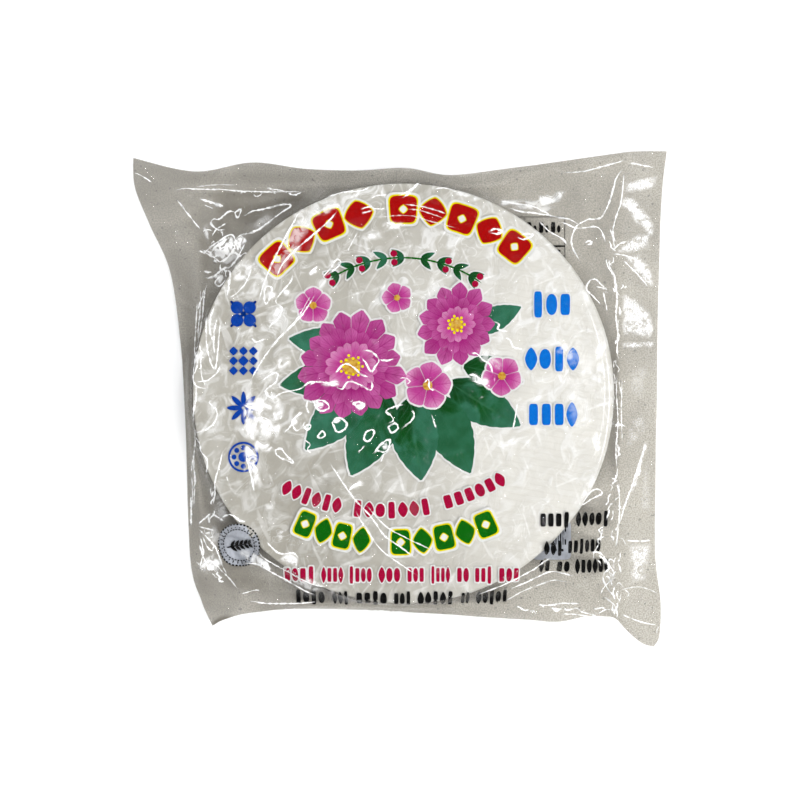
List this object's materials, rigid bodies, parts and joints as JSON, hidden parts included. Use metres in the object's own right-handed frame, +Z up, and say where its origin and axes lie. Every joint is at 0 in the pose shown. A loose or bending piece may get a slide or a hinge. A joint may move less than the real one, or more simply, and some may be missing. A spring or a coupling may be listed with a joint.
{
  "type": "sealed pack of round rice paper wrappers",
  "caption": "Stack of dry round rice paper wrappers heat-sealed in a clear crinkled film bag with flat sealed flaps, lying flat, printed side up.",
  "frame": {"origin": "middle of the bag's footprint, on the surface that it lies on", "axes": "+Z up, printed side up; +X to the right and +Y to the top of the bag as its front is read"},
  "size_m": [0.2854, 0.265, 0.0197],
  "materials": {
    "film": "clear, glossy and crinkled",
    "rice_paper": "translucent off-white, faintly woven, with pearly patches",
    "print": "opaque ink behind the film, in plain fields of colour"
  },
  "bodies": {
    "root": {"sealed_pack": "film"}
  },
  "joints": []
}
